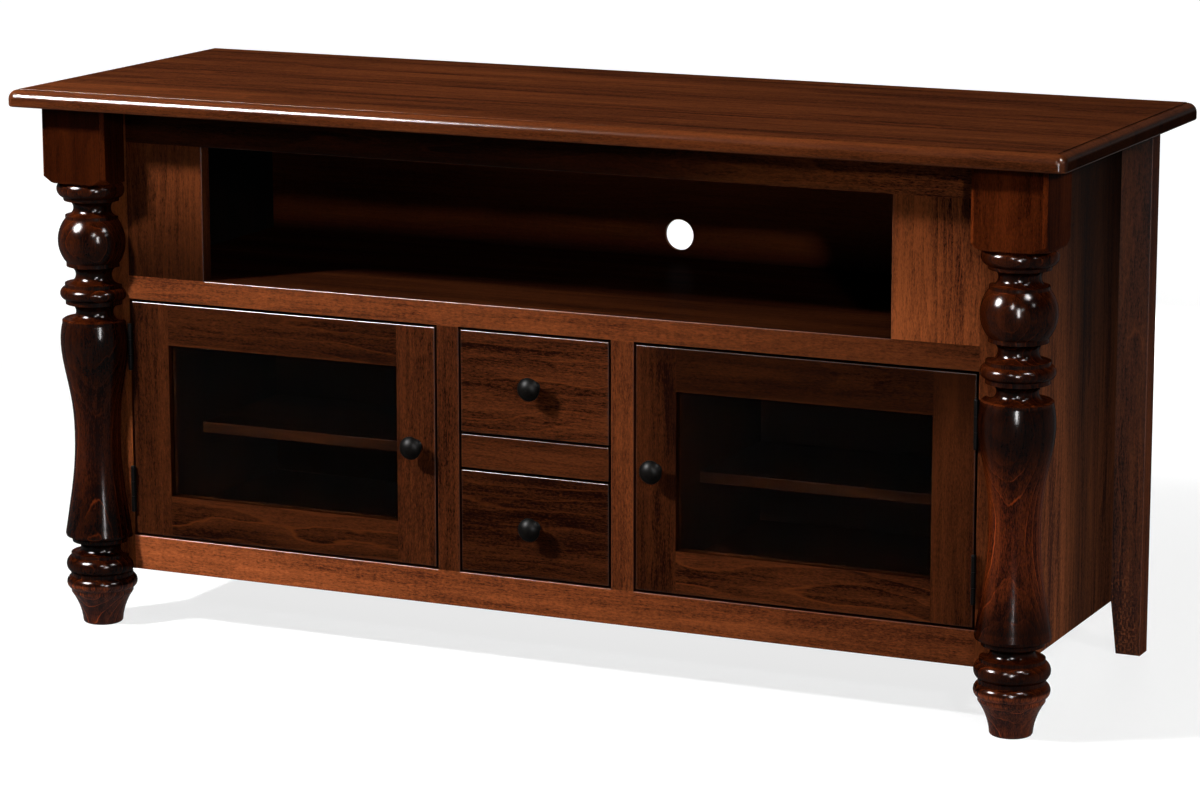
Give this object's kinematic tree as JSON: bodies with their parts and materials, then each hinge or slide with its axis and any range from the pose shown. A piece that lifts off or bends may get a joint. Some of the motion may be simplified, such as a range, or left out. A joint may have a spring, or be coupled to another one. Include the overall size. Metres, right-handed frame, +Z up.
{
  "type": "tv cabinet",
  "caption": "Dark wood media cabinet on turned front legs, with an open bay, glazed hinged doors and sliding drawers between them.",
  "frame": {"origin": "on the floor, under the middle of the top panel", "axes": "+Z up, the front faces -Y, +X to the viewer's right along the cabinet's length"},
  "size_m": [1.524, 0.559, 0.762],
  "materials": {
    "top_wood": "stained maple, satin gloss lacquer, grain along the length",
    "frame_wood": "stained maple, satin gloss lacquer",
    "door_wood": "stained maple, satin gloss lacquer",
    "leg_wood": "stained maple, high gloss lacquer, turned",
    "panel_wood": "stained maple veneer, satin gloss lacquer",
    "interior_wood": "stained, satin",
    "drawer_wood": "clear lacquered maple",
    "glass": "clear polished",
    "black_metal": "satin black",
    "slide_steel": "zinc plated",
    "catch_plastic": "matt brown"
  },
  "bodies": {
    "cabinet": {"back_panel": "interior_wood", "bay_deck": "interior_wood", "bay_stile_left": "frame_wood", "bay_stile_right": "frame_wood", "bottom_panel": "interior_wood", "bottom_rail": "frame_wood", "corner_stile_left": "frame_wood", "corner_stile_right": "frame_wood", "door_catches": "catch_plastic", "drawer_divider": "door_wood", "front_leg_left": "leg_wood", "front_leg_right": "leg_wood", "hinge_frame_leaves": "black_metal", "hinge_pins": "black_metal", "mid_rail": "frame_wood", "mullion_left": "frame_wood", "mullion_right": "frame_wood", "partition_left": "interior_wood", "partition_right": "interior_wood", "rear_leg_left": "panel_wood", "rear_leg_right": "panel_wood", "shelf_left": "interior_wood", "shelf_pins": "slide_steel", "shelf_right": "interior_wood", "side_panel_left": "panel_wood", "side_panel_right": "panel_wood", "slide_channels": "slide_steel", "top_cleats": "interior_wood", "top_panel": "top_wood", "top_rail": "frame_wood"},
    "door_left": {"door_left_hinge_stile": "door_wood", "door_left_latch_stile": "door_wood", "door_left_top_rail": "door_wood", "door_left_bottom_rail": "door_wood", "door_left_glass": "glass", "door_left_glass_stops": "door_wood", "door_left_hinge_leaves": "black_metal", "door_left_knob": "black_metal"},
    "door_right": {"door_right_hinge_stile": "door_wood", "door_right_latch_stile": "door_wood", "door_right_top_rail": "door_wood", "door_right_bottom_rail": "door_wood", "door_right_glass": "glass", "door_right_glass_stops": "door_wood", "door_right_hinge_leaves": "black_metal", "door_right_knob": "black_metal"},
    "drawer_upper": {"drawer_upper_front": "door_wood", "drawer_upper_back": "drawer_wood", "drawer_upper_bottom": "drawer_wood", "drawer_upper_side_left": "drawer_wood", "drawer_upper_side_right": "drawer_wood", "drawer_upper_slide_bars": "slide_steel", "drawer_upper_knob": "black_metal"},
    "drawer_lower": {"drawer_lower_front": "door_wood", "drawer_lower_back": "drawer_wood", "drawer_lower_bottom": "drawer_wood", "drawer_lower_side_left": "drawer_wood", "drawer_lower_side_right": "drawer_wood", "drawer_lower_slide_bars": "slide_steel", "drawer_lower_knob": "black_metal"}
  },
  "joints": [
    {"name": "door_left_hinge", "type": "hinge", "parent": "cabinet", "child": "door_left", "pos_m": [-0.6234, -0.1946, 0.298], "axis": [0, 0, -1], "range_deg": [0, 110]},
    {"name": "door_right_hinge", "type": "hinge", "parent": "cabinet", "child": "door_right", "pos_m": [0.6234, -0.1946, 0.298], "axis": [0, 0, 1], "range_deg": [0, 110]},
    {"name": "drawer_upper_slide", "type": "slide", "parent": "cabinet", "child": "drawer_upper", "axis": [0, -1, 0], "range_m": [0, 0.28]},
    {"name": "drawer_lower_slide", "type": "slide", "parent": "cabinet", "child": "drawer_lower", "axis": [0, -1, 0], "range_m": [0, 0.28]}
  ]
}
